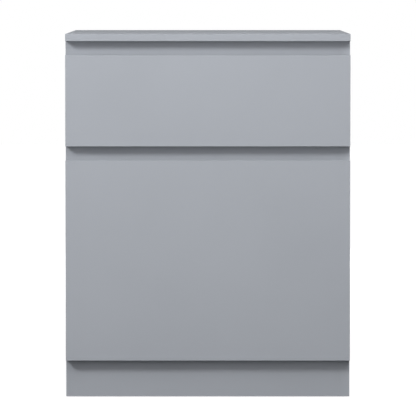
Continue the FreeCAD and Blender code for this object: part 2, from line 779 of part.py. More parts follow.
def make_drawer(level, tall, front_z, box, box_z, joint_inset):
    name = f"{level}_drawer"
    bottom_z = f"{box_z} + bottom_rise"
    groove_top = f"{bottom_z} + drawer_bottom + groove_play"
    front_blank(f"{name}_front", tall, front_z, bottom_z, groove_top)

    size = ("drawer_board", "drawer_length", box)
    side = blank(f"{name}_side_right", size, ("box_inner_x", "box_y", box_z))
    rim = value(box)
    thick = value("drawer_board")
    dress(side, "box_edge_round", lambda m: m.z > rim - NEAR and abs(m.x - thick / 2) > NEAR)
    opening = ("box_y", bottom_z, "box_rear_y", groove_top)
    groove(f"{name}_side_right", "bottom_groove", "X", "box_inner_x", 1, opening)
    blank(
        f"{name}_back",
        ("2 * box_inner_x", "drawer_board", f"{box} - bottom_top"),
        ("-box_inner_x", "box_rear_y - drawer_board", f"{box_z} + bottom_top"),
    )
    blank(
        f"{name}_bottom",
        ("2 * (box_inner_x + bottom_reach)", "drawer_length + bottom_reach", "drawer_bottom"),
        ("-box_inner_x - bottom_reach", "box_y - bottom_reach", bottom_z),
    )
    join_drawer(name, box, box_z, joint_inset)
    screw_drawer(name, box, box_z)

    heights = (f"{front_z} + bumper_inset", f"{front_z} + {tall} - pull_height - bumper_inset")
    pads = [
        prism(f"{name}_pad_{i}", DISC_SIDES, "bumper_radius", "bumper", ("side_x", "box_y", z), BACK)
        for i, z in enumerate(heights)
    ]
    keep(both_sides(f"{name}_pads", pads), f"{name}_bumpers")


def join_drawer(name, box, box_z, inset):
    """Two cams and a dowel between the front and each side."""
    pieces = [f"{name}_front", f"{name}_side_right"]
    rises = (inset, f"{box} - {inset}")
    spots = [(("box_side_x", "box_y", f"{box_z} + {rise}"), BACK, RIGHT) for rise in rises]
    cam, bolt, hole = cam_joint(name, "drawer_board", "drawer_cam_length")
    bolts = fit(f"{name}_joint", bolt, hole, spots, pieces)
    locks = [copy(f"{name}_lock_{i}", cam, *spot) for i, spot in enumerate(spots)]
    keep(both_sides(f"{name}_bolts", bolts), f"{name}_cam_bolts")
    keep(both_sides(f"{name}_locks", locks), f"{name}_cam_locks")
    middle = [(("box_side_x", "box_y", f"{box_z} + {box} / 2"), BACK)]
    peg = dowel(f"{name}_peg", "drawer_dowel_radius", "drawer_dowel_length", "drawer_dowel_seat")
    keep(both_sides(f"{name}_pegs", fit(f"{name}_pin", *peg, middle, pieces)), f"{name}_dowels")


def screw_drawer(name, box, box_z):
    """Screws through the sides into the back, up through the bottom, and up through the runners."""
    back_y = "box_rear_y - drawer_board / 2"
    rises = ("back_screw_rise", f"{box} - back_screw_rise")
    across = [(("box_x", back_y, f"{box_z} + {rise}"), RIGHT) for rise in rises]
    under = [(("bottom_screw_pitch / 2", back_y, f"{box_z} + bottom_rise"), DOWN)]
    rows = ("box_y + drawer_screw_inset", "box_rear_y - drawer_screw_inset")
    rail = [(("box_x - drawer_screw_edge", y, f"{box_z} - runner_metal"), DOWN) for y in rows]
    side, back = f"{name}_side_right", f"{name}_back"
    sets = {
        # the set: the thickness that its screws hold down, their spots and the two pieces that they join
        "across": ("drawer_board", across, [side, back]),
        "under": ("drawer_bottom", under, [f"{name}_bottom", back]),
        "rail": ("runner_metal", rail, [f"{name}_runner_right", side]),
    }
    pieces = []
    for row, (grip, spots, joined) in sets.items():
        fixing = screw(f"{name}_{row}_screw", grip, "screw_bite")
        pieces += fit(f"{name}_{row}", *fixing, spots, joined)
    keep(both_sides(f"{name}_screw_set", pieces), f"{name}_screws")


# ---- the whole cabinet -----------------------------------------------------------------------------

DRAWERS = {
    # level: front height and z, box height and z, how far the box's end joints are from its edges
    "upper": ("upper_front", "upper_front_z", "upper_box", "upper_box_z", "upper_joint_inset"),
    "lower": ("lower_front", "lower_front_z", "lower_box", "lower_box_z", "lower_joint_inset"),
}


def make_cabinet():
    make_sizes()
    make_boards()
    join_carcass()
    fix_top()
    fix_back()
    make_plinth_blocks()
    make_glides()
    for level, (tall, front_z, box, box_z, joint_inset) in DRAWERS.items():
        make_cabinet_runner(level, box_z)
        make_drawer_runner(level, box_z)
        make_drawer(level, tall, front_z, box, box_z, joint_inset)
    screw_cabinet_runners({level: box_z for level, (_, _, _, box_z, _) in DRAWERS.items()})
    finish_blanks()
    doc.recompute()


def check():
    for item in doc.Objects:
        if {"Invalid", "Error"} & set(item.State):
            raise RuntimeError(f"{item.Name} is {item.State}")
    for node in nodes:
        if node.Shape.isNull() or not node.Shape.isValid():
            raise RuntimeError(f"{node.Label} has no valid shape")


def write():
    os.makedirs("parts", exist_ok=True)
    for node in nodes:
        node.Shape.exportStep(f"parts/{node.Label}.step")


make_cabinet()
check()
write()
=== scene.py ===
"""Looks of a handleless bedside cabinet with two drawers on roller runners."""

import json
import math
from itertools import product

import bpy
from mathutils import Matrix, Vector

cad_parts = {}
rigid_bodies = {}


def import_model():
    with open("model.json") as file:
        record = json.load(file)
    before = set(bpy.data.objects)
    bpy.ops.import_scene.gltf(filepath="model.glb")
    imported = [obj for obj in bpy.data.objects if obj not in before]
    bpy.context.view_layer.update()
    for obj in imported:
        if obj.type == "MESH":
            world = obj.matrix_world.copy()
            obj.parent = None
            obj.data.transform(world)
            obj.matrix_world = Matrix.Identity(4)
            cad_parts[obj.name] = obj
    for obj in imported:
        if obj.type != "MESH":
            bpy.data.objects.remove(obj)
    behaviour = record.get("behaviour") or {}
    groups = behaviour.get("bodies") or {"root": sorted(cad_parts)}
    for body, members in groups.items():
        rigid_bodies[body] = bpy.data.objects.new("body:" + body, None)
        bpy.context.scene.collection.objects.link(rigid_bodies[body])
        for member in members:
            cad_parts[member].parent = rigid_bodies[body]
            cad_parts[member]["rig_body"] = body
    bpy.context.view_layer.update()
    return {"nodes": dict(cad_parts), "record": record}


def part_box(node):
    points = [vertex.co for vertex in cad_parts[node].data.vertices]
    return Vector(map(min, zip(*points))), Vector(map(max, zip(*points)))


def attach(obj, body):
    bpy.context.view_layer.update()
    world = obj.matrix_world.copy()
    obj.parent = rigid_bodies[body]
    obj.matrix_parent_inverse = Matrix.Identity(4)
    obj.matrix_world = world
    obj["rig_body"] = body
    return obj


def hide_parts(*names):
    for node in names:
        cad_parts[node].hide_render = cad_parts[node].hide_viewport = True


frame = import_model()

MM = 0.001
RIGHT, BACK, UP = Vector((1, 0, 0)), Vector((0, 1, 0)), Vector((0, 0, 1))

nodes = frame["nodes"]
slots = {row["node"]: row["material_slot"] for row in frame["record"]["subparts"]}


def in_scene(item):
    """Links a new object to the scene."""
    bpy.context.scene.collection.objects.link(item)
    return item


# ---- camera ----------------------------------------------------------------------------------------

CAMERA_AT = (0.00025, -5.4333, 0.5779)  # metres
CAMERA_DIP = 0.05967  # radians below level
LENS, SENSOR = 326.64, 36  # millimetres


def make_camera():
    """Far in front of the cabinet, a little above its top, and looking slightly down at it."""
    camera = in_scene(bpy.data.objects.new("camera", bpy.data.cameras.new("camera")))
    camera.location = CAMERA_AT
    camera.rotation_euler = (math.pi / 2 - CAMERA_DIP, 0, 0)
    camera.data.sensor_width = SENSOR
    camera.data.lens = LENS
    camera.data.clip_end = 100
    bpy.context.scene.camera = camera


# ---- node materials --------------------------------------------------------------------------------


def linear(text):
    """An sRGB hex value as linear red, green, blue and alpha."""
    parts = [int(text[i : i + 2], 16) / 255 for i in (1, 3, 5)]
    return [c / 12.92 if c <= 0.04045 else ((c + 0.055) / 1.055) ** 2.4 for c in parts] + [1]


def every(size):
    """The pattern scale whose features come about every so many millimetres."""
    return 1 / (size * MM)


def add(tree, kind, inputs=None, **settings):
    """Adds a node with its settings. An input takes a value, a socket, or a node for its first output."""
    node = tree.nodes.new("ShaderNode" + kind)
    for name, setting in settings.items():
        setattr(node, name, setting)
    for name, given in (inputs or {}).items():
        if isinstance(given, bpy.types.Node):
            given = given.outputs[0]
        if isinstance(given, bpy.types.NodeSocket):
            tree.links.new(given, node.inputs[name])
        else:
            node.inputs[name].default_value = given
    return node


def material(name):
    """A new material, with its node tree, its object coordinates and its object normals."""
    made = bpy.data.materials.new(name)
    made.use_nodes = True
    tree = made.node_tree
    tree.nodes.clear()
    coordinates = add(tree, "TexCoord")
    return made, tree, coordinates.outputs["Object"], coordinates.outputs["Normal"]


def matt_lacquer():
    """Matt lacquer sprayed on MDF. The eye sees one even, silky blue-grey. The shallow ripple of sprayed
    paint and the cloudiness of a hand-sanded ground only show where light glances off it."""
    made, tree, at, _ = material("matt_lacquer_sprayed_on_mdf")
    cloud = add(tree, "TexNoise", {"Vector": at, "Scale": every(130), "Detail": 2.0})
    paint = add(tree, "Mix", {0: cloud, 6: linear("#A6AAB1"), 7: linear("#ACB0B7")}, data_type="RGBA")
    speck = add(tree, "TexNoise", {"Vector": at, "Scale": every(3), "Detail": 3.0})
    sheen = add(tree, "MapRange", {"Value": speck, "To Min": 0.70, "To Max": 0.80})
    # sprayed ripple is about 1 mm apart, drawn at 2.5 mm so that it shows
    ripple = add(tree, "TexNoise", {"Vector": at, "Scale": every(2.5), "Detail": 2.0})
    bump = add(tree, "Bump", {"Strength": 0.3, "Distance": 0.03 * MM, "Height": ripple})
    shader = add(tree, "BsdfPrincipled", {
        "Base Color": paint.outputs[2], "Roughness": sheen.outputs[0], "IOR": 1.48, "Normal": bump,
        "Specular IOR Level": 0.25,
    })
    add(tree, "OutputMaterial", {"Surface": shader})
    return made


def melamine_board():
    """Melamine-faced chipboard, pressed with a fine pearl texture. The eye sees the lacquer's grey again,
    a little flatter, with tiny soft dimples."""
    made, tree, at, _ = material("melamine_faced_chipboard_pressed")
    cloud = add(tree, "TexNoise", {"Vector": at, "Scale": every(90), "Detail": 3.0})
    paper = add(tree, "Mix", {0: cloud, 6: linear("#A3A7AE"), 7: linear("#A9ADB4")}, data_type="RGBA")
    dimple = add(tree, "TexVoronoi", {
        "Vector": at, "Scale": every(1.2), "Smoothness": 0.6,
    }, feature="SMOOTH_F1")
    bump = add(tree, "Bump", {"Strength": 0.5, "Distance": 0.06 * MM, "Height": dimple})
    shader = add(tree, "BsdfPrincipled", {
        "Base Color": paper.outputs[2], "Roughness": 0.55, "IOR": 1.5, "Normal": bump,
    })
    add(tree, "OutputMaterial", {"Surface": shader})
    return made


def wrapped_foil(name, stretch):
    """Printed PVC foil wrapped round board. The eye sees pale grey with a faint straight grain along it."""
    made, tree, at, _ = material(name)
    along = add(tree, "Mapping", {"Vector": at, "Scale": stretch})
    grain = add(tree, "TexNoise", {"Vector": along, "Scale": every(1.4), "Detail": 5.0, "Roughness": 0.65})
    band = add(tree, "TexNoise", {"Vector": along, "Scale": every(14), "Detail": 3.0})
    both = add(tree, "Math", {0: grain, 1: band}, operation="MULTIPLY")
    printed = add(tree, "Mix", {0: both, 6: linear("#C9CBCD"), 7: linear("#A9ACB0")}, data_type="RGBA")
    bump = add(tree, "Bump", {"Strength": 0.35, "Distance": 0.05 * MM, "Height": grain})
    shader = add(tree, "BsdfPrincipled", {
        "Base Color": printed.outputs[2], "Roughness": 0.42, "IOR": 1.53, "Normal": bump,
    })
    add(tree, "OutputMaterial", {"Surface": shader})
    return made


def hardboard():
    """Hardboard, lacquered pale grey on its good face and left raw on the other. The eye sees faint fibres
    under the paint, and brown felted fibre with darker flecks behind and below."""
    made, tree, at, normal = material("hardboard_lacquered_one_side")
    fibre = add(tree, "TexNoise", {"Vector": at, "Scale": every(2.5), "Detail": 8.0, "Distortion": 0.4})
    good = add(tree, "Mix", {0: fibre, 6: linear("#B4B7BB"), 7: linear("#A8ABB0")}, data_type="RGBA")
    raw = add(tree, "Mix", {0: fibre, 6: linear("#775940"), 7: linear("#B08C68")}, data_type="RGBA")
    axes = add(tree, "SeparateXYZ", {"Vector": normal})
    behind = add(tree, "Math", {0: axes.outputs["Y"], 1: 0.5}, operation="GREATER_THAN")
    below = add(tree, "Math", {0: axes.outputs["Z"], 1: -0.5}, operation="LESS_THAN")
    either = add(tree, "Math", {0: behind, 1: below}, operation="MAXIMUM")
    colour = add(tree, "Mix", {0: either, 6: good.outputs[2], 7: raw.outputs[2]}, data_type="RGBA")
    gloss = add(tree, "MapRange", {"Value": either, "To Min": 0.4, "To Max": 0.75})
    bump = add(tree, "Bump", {"Strength": 0.4, "Distance": 0.08 * MM, "Height": fibre})
    shader = add(tree, "BsdfPrincipled", {
        "Base Color": colour.outputs[2], "Roughness": gloss.outputs[0], "IOR": 1.5, "Normal": bump,
    })
    add(tree, "OutputMaterial", {"Surface": shader})
    return made


def powder_coat():
    """White epoxy powder baked on pressed steel. The eye sees a hard, smooth white with an orange-peel
    gloss."""
    made, tree, at, _ = material("epoxy_powder_baked_on_steel")
    cloud = add(tree, "TexNoise", {"Vector": at, "Scale": every(25), "Detail": 2.0})
    coat = add(tree, "Mix", {0: cloud, 6: linear("#E6E6E2"), 7: linear("#EDEDEA")}, data_type="RGBA")
    peel = add(tree, "TexNoise", {"Vector": at, "Scale": every(1.0), "Detail": 1.0})
    bump = add(tree, "Bump", {"Strength": 0.4, "Distance": 0.05 * MM, "Height": peel})
    shader = add(tree, "BsdfPrincipled", {
        "Base Color": coat.outputs[2], "Roughness": 0.3, "IOR": 1.55, "Normal": bump,
    })
    add(tree, "OutputMaterial", {"Surface": shader})
    return made


def nylon():
    """Natural nylon, moulded. The eye sees a waxy, slightly yellow white that light sinks into."""
    made, tree, at, _ = material("natural_nylon_moulded")
    flow = add(tree, "TexNoise", {"Vector": at, "Scale": every(5), "Detail": 3.0, "Distortion": 0.8})
    body = add(tree, "Mix", {0: flow, 6: linear("#E6E2D3"), 7: linear("#EFECE0")}, data_type="RGBA")
    skin = add(tree, "TexNoise", {"Vector": at, "Scale": every(0.6), "Detail": 2.0})
    bump = add(tree, "Bump", {"Strength": 0.2, "Distance": 0.03 * MM, "Height": skin})
    shader = add(tree, "BsdfPrincipled", {
        "Base Color": body.outputs[2], "Roughness": 0.38, "IOR": 1.53, "Normal": bump,
        "Subsurface Weight": 0.25, "Subsurface Radius": (1.0, 0.9, 0.7), "Subsurface Scale": 1.5 * MM,
    })
    add(tree, "OutputMaterial", {"Surface": shader})
    return made


def zinc_plate():
    """Steel, electroplated with zinc and blue-passivated. The eye sees bright cool metal with a faint bloom
    of yellow and blue."""
    made, tree, at, _ = material("steel_zinc_plated")
    bloom = add(tree, "TexNoise", {"Vector": at, "Scale": every(4), "Detail": 3.0})
    plate = add(tree, "Mix", {0: bloom, 6: linear("#B8BDC4"), 7: linear("#C6C4BA")}, data_type="RGBA")
    haze = add(tree, "MapRange", {"Value": bloom, "To Min": 0.24, "To Max": 0.42})
    drawn = add(tree, "TexNoise", {"Vector": at, "Scale": every(0.5), "Detail": 2.0})
    bump = add(tree, "Bump", {"Strength": 0.15, "Distance": 0.02 * MM, "Height": drawn})
    shader = add(tree, "BsdfPrincipled", {
        "Base Color": plate.outputs[2], "Metallic": 1.0, "Roughness": haze.outputs[0], "Normal": bump,
    })
    add(tree, "OutputMaterial", {"Surface": shader})
    return made


def cast_zinc():
    """Zinc, die-cast and tumbled. The eye sees a dull, even grey metal with a sandy skin."""
    made, tree, at, _ = material("zinc_die_cast")
    stain = add(tree, "TexNoise", {"Vector": at, "Scale": every(6), "Detail": 4.0})
    skin = add(tree, "Mix", {0: stain, 6: linear("#9B9C9D"), 7: linear("#B0B0AE")}, data_type="RGBA")
    sand = add(tree, "TexNoise", {"Vector": at, "Scale": every(0.5), "Detail": 4.0})
    bump = add(tree, "Bump", {"Strength": 0.5, "Distance": 0.05 * MM, "Height": sand})
    shader = add(tree, "BsdfPrincipled", {
        "Base Color": skin.outputs[2], "Metallic": 1.0, "Roughness": 0.5, "Normal": bump,
    })
    add(tree, "OutputMaterial", {"Surface": shader})
    return made


def bare_wood(name, stretch, pale, dark, ring, fleck):
    """Bare planed wood. The eye sees straight growth rings, broken by short darker flecks."""
    made, tree, at, _ = material(name)
    along = add(tree, "Mapping", {"Vector": at, "Scale": stretch})
    # at scale 1, the sum of the coordinates grows by 2 pi / 10 from one diagonal band to the next, and with
    # two axes across the grain, the bands lie closer together than that by the root of 2
    rings = add(tree, "TexWave", {
        "Vector": along, "Scale": math.tau / 10 / math.sqrt(2) * every(ring),
        "Distortion": 3.0, "Detail": 2.0, "Detail Scale": 0.6,
    }, wave_type="BANDS", bands_direction="DIAGONAL")
    flecks = add(tree, "TexNoise", {"Vector": along, "Scale": every(fleck), "Detail": 4.0})
    both = add(tree, "Math", {0: rings, 1: flecks}, operation="MULTIPLY")
    wood = add(tree, "Mix", {0: both, 6: linear(pale), 7: linear(dark)}, data_type="RGBA")
    bump = add(tree, "Bump", {"Strength": 0.3, "Distance": 0.05 * MM, "Height": flecks})
    shader = add(tree, "BsdfPrincipled", {
        "Base Color": wood.outputs[2], "Roughness": 0.65, "IOR": 1.5, "Normal": bump,
    })
    add(tree, "OutputMaterial", {"Surface": shader})
    return made


def moulded_plastic(name, tone, lighter, rough):
    """Plastic moulded in a spark-eroded tool. The eye sees one flat tone with a very fine grain."""
    made, tree, at, _ = material(name)
    cloud = add(tree, "TexNoise", {"Vector": at, "Scale": every(8), "Detail": 2.0})
    body = add(tree, "Mix", {0: cloud, 6: linear(tone), 7: linear(lighter)}, data_type="RGBA")
    spark = add(tree, "TexNoise", {"Vector": at, "Scale": every(0.4), "Detail": 2.0})
    bump = add(tree, "Bump", {"Strength": 0.4, "Distance": 0.03 * MM, "Height": spark})
    shader = add(tree, "BsdfPrincipled", {
        "Base Color": body.outputs[2], "Roughness": rough, "IOR": 1.5, "Normal": bump,
    })
    add(tree, "OutputMaterial", {"Surface": shader})
    return made


def clear_pad():
    """Clear silicone, moulded as small domes. The eye sees a milky, glossy drop."""
    made, tree, at, _ = material("silicone_moulded_clear")
    cure = add(tree, "TexNoise", {"Vector": at, "Scale": every(3), "Detail": 2.0})
    body = add(tree, "Mix", {0: cure, 6: linear("#CDD0D2"), 7: linear("#DADCDD")}, data_type="RGBA")
    shader = add(tree, "BsdfPrincipled", {
        "Base Color": body.outputs[2], "Roughness": 0.15, "IOR": 1.41,
        "Subsurface Weight": 0.5, "Subsurface Radius": (1, 1, 1), "Subsurface Scale": 1.0 * MM,
    })
    add(tree, "OutputMaterial", {"Surface": shader})
    return made


# ---- modelling -------------------------------------------------------------------------------------

SMOOTH_BELOW = math.radians(35)  # edges that bend less are shaded smooth
SHARP_ABOVE = math.radians(40)  # edges that bend more are rounded off


def deselect():
    if bpy.context.object and bpy.context.object.mode != "OBJECT":
        bpy.ops.object.mode_set(mode="OBJECT")
    bpy.ops.object.select_all(action="DESELECT")


def choose(*pieces):
    deselect()
    for piece in pieces:
        piece.select_set(True)
    bpy.context.view_layer.objects.active = pieces[0]
    return pieces[0]


def joined(pieces):
    """Several pieces as one, left selected."""
    whole = choose(*pieces)
    if len(pieces) > 1:
        bpy.ops.object.join()
    return whole


def edit(piece, wanted=None):
    """Opens a piece in edit mode with the faces that `wanted` picks selected, or with all of it."""
    choose(piece)
    bpy.ops.object.mode_set(mode="EDIT")
    bpy.ops.mesh.select_mode(type="FACE")
    bpy.ops.mesh.select_all(action="SELECT" if wanted is None else "DESELECT")
    if wanted is not None:
        bpy.ops.object.mode_set(mode="OBJECT")
        for face in piece.data.polygons:
            face.select = wanted(face)
        bpy.ops.object.mode_set(mode="EDIT")


def close_edit(smooth_below=SMOOTH_BELOW):
    """Leaves edit mode with doubles merged, faces turned outwards and soft edges shaded smooth."""
    bpy.ops.mesh.select_all(action="SELECT")
    bpy.ops.mesh.remove_doubles(threshold=0.001 * MM)
    bpy.ops.mesh.normals_make_consistent(inside=False)
    bpy.ops.object.mode_set(mode="OBJECT")
    bpy.ops.object.shade_smooth_by_angle(angle=smooth_below)


def turned(sides, path, ring=False):
    """A turned piece: a circle is extruded from each (radius, height) of a path in mm to the next. A ring's
    path comes back to its start, and a solid's two ends are closed."""
    deselect()
    radius, height = path[0]
    bpy.ops.mesh.primitive_circle_add(vertices=sides, radius=radius * MM, location=(0, 0, height * MM))
    piece = bpy.context.object
    bpy.ops.object.transform_apply()
    bpy.ops.object.mode_set(mode="EDIT")
    bpy.ops.mesh.select_mode(type="EDGE")
    bpy.ops.mesh.select_all(action="SELECT")
    if not ring:
        bpy.ops.mesh.edge_face_add()
        bpy.ops.mesh.select_all(action="SELECT")
    for wide, high in path[1:] + (path[:1] if ring else []):
        rise = {"value": (0, 0, (high - height) * MM)}
        if ring:
            bpy.ops.mesh.extrude_edges_move(TRANSFORM_OT_translate=rise)
        else:
            bpy.ops.mesh.extrude_region_move(TRANSFORM_OT_translate=rise)
        bpy.ops.transform.resize(value=(wide / radius, wide / radius, 1), center_override=(0, 0, 0))
        radius, height = wide, high
    close_edit()
    return piece


def bar(low, high):
    """A block between two corners in mm, as the start of a piece."""
    deselect()
    middle = [(a + b) / 2 * MM for a, b in zip(low, high)]
    bpy.ops.mesh.primitive_cube_add(size=1, location=middle)
    piece = bpy.context.object
    piece.scale = [(b - a) * MM for a, b in zip(low, high)]
    bpy.ops.object.transform_apply()
    return piece


def carved(piece, *cutters):
    """Cuts pieces out of another, and throws them away."""
    for cutter in cutters:
        choose(piece)
        carve = piece.modifiers.new("carve", "BOOLEAN")
        carve.operation = "DIFFERENCE"
        carve.object = cutter
        bpy.ops.object.modifier_apply(modifier=carve.name)
        bpy.data.objects.remove(cutter)
    choose(piece)
    bpy.ops.object.shade_smooth_by_angle(angle=SMOOTH_BELOW)
    return piece


def cross_recess(piece, width, span, depth):
    """Cuts a driver's cross into the top of a head, with arms that narrow towards the bottom."""
    narrowed = 0.55
    arms = []
    for across, along in ((span, width), (width, span)):
        arm = bar((-across / 2, -along / 2, -depth), (across / 2, along / 2, depth))
        edit(arm, lambda face: face.normal.z < -0.5)
        bpy.ops.transform.resize(value=(narrowed, narrowed, 1))
        bpy.ops.object.mode_set(mode="OBJECT")
        arms.append(arm)
    return carved(piece, *arms)


def softened(piece, width):
    """Rounds the sharp edges of a piece by `width` mm."""
    choose(piece)
    bevel = piece.modifiers.new("soft_edges", "BEVEL")
    bevel.width = width * MM
    bevel.segments = 2
    bevel.limit_method = "ANGLE"
    bevel.angle_limit = SHARP_ABOVE
    bpy.ops.object.modifier_apply(modifier=bevel.name)
    return piece


def reworked(node, width):
    """A copy of a CAD node as one clean shell, with its sharp edges rounded by `width` mm and its curves
    shaded smooth."""
    piece = in_scene(bpy.data.objects.new(node + "_detailed", nodes[node].data.copy()))
    edit(piece)
    bpy.ops.mesh.remove_doubles(threshold=0.002 * MM)
    bpy.ops.mesh.dissolve_limited(angle_limit=math.radians(0.5))
    bpy.ops.object.mode_set(mode="OBJECT")
    softened(piece, width)
    bpy.ops.object.shade_smooth_by_angle(angle=SMOOTH_BELOW)
    # the wide faces stay flat, and only the narrow ones beside them bend
    flat = piece.modifiers.new("flat_faces", "WEIGHTED_NORMAL")
    flat.weight = 100
    flat.keep_sharp = True
    bpy.ops.object.modifier_apply(modifier=flat.name)
    return piece


def placed(pattern, spots):
    """Turns a pattern into copies of it, joined as one piece. A spot is where the pattern's origin goes, the
    way that its Z axis points and the way that its X axis faces."""
    copies = []
    for at, points, faces in spots:
        made = in_scene(pattern.copy())
        made.data = pattern.data.copy()
        turn = Matrix((faces, points.cross(faces), points)).transposed().to_4x4()
        made.matrix_world = Matrix.Translation(at) @ turn
        copies.append(made)
    bpy.data.objects.remove(pattern)
    whole = joined(copies)
    bpy.ops.object.transform_apply()
    return whole


def stand_for(node, piece):
    """Puts a piece in a CAD node's place, with the node's paint, body and material slot."""
    piece.name = node + "_detailed"
    piece.data.materials.clear()
    piece.data.materials.append(nodes[node].data.materials[0])
    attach(piece, nodes[node]["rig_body"])
    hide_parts(node)


# ---- where the small pieces are --------------------------------------------------------------------


def solids(node):
    """The separate solids of a CAD node, each as the lowest and highest corner of its box and its points."""
    mesh = nodes[node].data
    points = [tuple(round(c, 6) for c in vertex.co) for vertex in mesh.vertices]
    linked_to = {point: point for point in points}

    def root(point):
        while linked_to[point] != point:
            linked_to[point] = linked_to[linked_to[point]]
            point = linked_to[point]
        return point

    for face in mesh.polygons:
        first, *others = (points[i] for i in face.vertices)
        for other in others:
            linked_to[root(other)] = root(first)
    groups = {}
    for point in linked_to:
        groups.setdefault(root(point), []).append(point)
    found = [(Vector(map(min, *group)), Vector(map(max, *group)), group) for group in groups.values()]
    return sorted(found, key=lambda solid: tuple(solid[0]))


def length_of(low, high):
    """The longest side of a box in mm."""
    return max(high - low) / MM


def axis_of(low, high, pick=max):
    """The number of the axis along which a box is longest or, with pick=min, shortest."""
    return pick(range(3), key=lambda i: high[i] - low[i])


def end_of(low, high, looks):
    """The middle of the side of a box that looks a given way."""
    return (low + high) / 2 + Vector([way * size / 2 for way, size in zip(looks, high - low)])


def aside(points):
    """A way across another one."""
    return UP if abs(points.z) < 0.5 else RIGHT


def headed(low, high, points):
    """Where a screw or bolt has its head: the middle of the head's end face, and the way that it looks."""
    axis = axis_of(low, high)
    middle = (low + high) / 2

    def spread(end):
        near = [p for p in points if abs(p[axis] - end) < 0.1 * MM]
        return max(abs(p[i] - middle[i]) for p in near for i in range(3) if i != axis)

    looks = (RIGHT, BACK, UP)[axis] * (1 if spread(high[axis]) > spread(low[axis]) else -1)
    return end_of(low, high, looks), looks


# ---- studio ----------------------------------------------------------------------------------------

# name, place and width in metres, and watts
LAMPS = [
    ("key_lamp", (-1.30, -1.45, 1.35), 0.5, 21.5),
    ("right_fill", (0.6, -1.6, 1.6), 0.8, 3.8),
    ("overhead_fill", (0.8, -1.0, 2.0), 0.8, 9.2),
    ("high_front_fill", (0.1, -1.0, 0.9), 0.6, 1.9),
    ("level_front_fill", (0.1, -1.4, 0.5), 0.6, 2.75),
    ("low_front_fill", (0.2, -2.6, 0.2), 0.35, 1.9),
    ("back_fill", (0.9, 2.6, 0.3), 0.5, 52),
    ("right_side_fill", (2.5, 0.5, 0.3), 0.5, 29),
    ("left_side_fill", (-2.5, 0.5, 0.3), 0.5, 20),
]
LAMPS_LOOK_AT = Vector((0, -0.2, 0.3))
FLOOR_WIDTH = 16  # metres
SHADED_WITHIN, FULL_GLOW_FROM = 0.5, 2.2  # metres from the cabinet's middle


def make_lamp(name, at, size, power):
    lamp = in_scene(bpy.data.objects.new(name, bpy.data.lights.new(name, "AREA")))
    lamp.data.shape = "DISK"
    lamp.data.size = size
    lamp.data.energy = power
    lamp.location = at
    lamp.rotation_euler = (LAMPS_LOOK_AT - lamp.location).to_track_quat("-Z", "Y").to_euler()


def background_rays(tree):
    """1 for what looks at the background, straight, in a reflection or through something clear, else 0."""
    path = add(tree, "LightPath").outputs
    mirrored = add(tree, "Math", {0: path["Is Camera Ray"], 1: path["Is Glossy Ray"]}, operation="MAXIMUM")
    return add(tree, "Math", {0: mirrored, 1: path["Is Transmission Ray"]}, operation="MAXIMUM")


def studio_floor():
    """Matt white floor paper. The eye sees plain white that only the cabinet's own shadow greys."""
    made, tree, at, _ = material("white_studio_floor")
    # the paper glows a little less round the cabinet, so that the shadow shows there
    away = add(tree, "VectorMath", {0: at}, operation="LENGTH")
    shine = add(tree, "MapRange", {
        "Value": away.outputs["Value"], "From Min": SHADED_WITHIN, "From Max": FULL_GLOW_FROM,
        "To Min": 0.86, "To Max": 1.0,
    })
    matt = add(tree, "BsdfDiffuse", {"Color": (0.3, 0.3, 0.3, 1)})
    glow = add(tree, "Emission", {"Strength": shine})
    lifted = add(tree, "AddShader", {0: matt, 1: glow})
    dull = add(tree, "BsdfDiffuse", {"Color": (0.15, 0.15, 0.15, 1)})
    shader = add(tree, "MixShader", {0: background_rays(tree), 1: dull, 2: lifted})
    add(tree, "OutputMaterial", {"Surface": shader})
    return made


def make_studio():
    """A pale floor in white surroundings, a soft key lamp from the upper left, and weaker lamps that fill the
    shadows from the front, the sides and behind."""
    deselect()
    bpy.ops.mesh.primitive_plane_add(size=FLOOR_WIDTH)
    floor = bpy.context.object
    floor.name = "floor"
    floor.data.materials.append(studio_floor())

    world = bpy.data.worlds.new("studio")
    bpy.context.scene.world = world
    world.use_nodes = True
    tree = world.node_tree
    tree.nodes.clear()
    dim = add(tree, "Background", {"Color": (1, 1, 1, 1), "Strength": 0.12})
    white = add(tree, "Background", {"Color": (1, 1, 1, 1), "Strength": 1.0})
    whole = add(tree, "MixShader", {0: background_rays(tree), 1: dim, 2: white})
    add(tree, "OutputWorld", {"Surface": whole})

    for name, at, size, power in LAMPS:
        make_lamp(name, at, size, power)


# ---- fasteners -------------------------------------------------------------------------------------
# Paths are pairs of a radius and a height in mm. Screws, bolts and locks reach down from an outer face at
# about height 0.


def thread(low, high, core, crest, pitch, rise):
    """A rolled thread, as points of a path: every pitch, a slope up to the crest and one back to the core."""
    points = []
    height = low
    while height < high:
        points += [(core, height), (crest, height + rise), (core, height + 2 * rise)]
        height += pitch
    return points


def chipboard_screw(length, shank, head, recess):
    """A screw with a sharp tip, a rolled thread up to its plain shank, and a head with a driver's cross."""
    core, crest = 1.15, 1.72
    path = [(0.35, -length), (0.7 * core, 1.4 - length), (core, 2.6 - length)]
    path += thread(2.8 - length, shank - 1.4, core, crest, pitch=1.2, rise=0.45)
    return cross_recess(turned(20, path + head), width=0.8, span=recess, depth=0.8)


def pan_head_screw(length):
    """A screw with a low domed head and a washer-like rim."""
    head = [(1.25, -2.2), (1.6, -1.2), (2.9, -1.2), (3.0, -1.05)]
    head += [(3.0, -0.8), (2.7, -0.4), (2.0, -0.12), (0.8, 0)]
    return chipboard_screw(length, shank=-2.4, head=head, recess=3.4)


def runner_screw(length):
    """A screw with a flat countersunk head, which stands a hair proud of the runner's metal."""
    head = [(1.3, -2.4), (1.7, -1.3), (3.1, 0.0), (3.2, 0.1), (3.05, 0.28), (0.8, 0.32)]
    return chipboard_screw(length, shank=-2.6, head=head, recess=3.6)


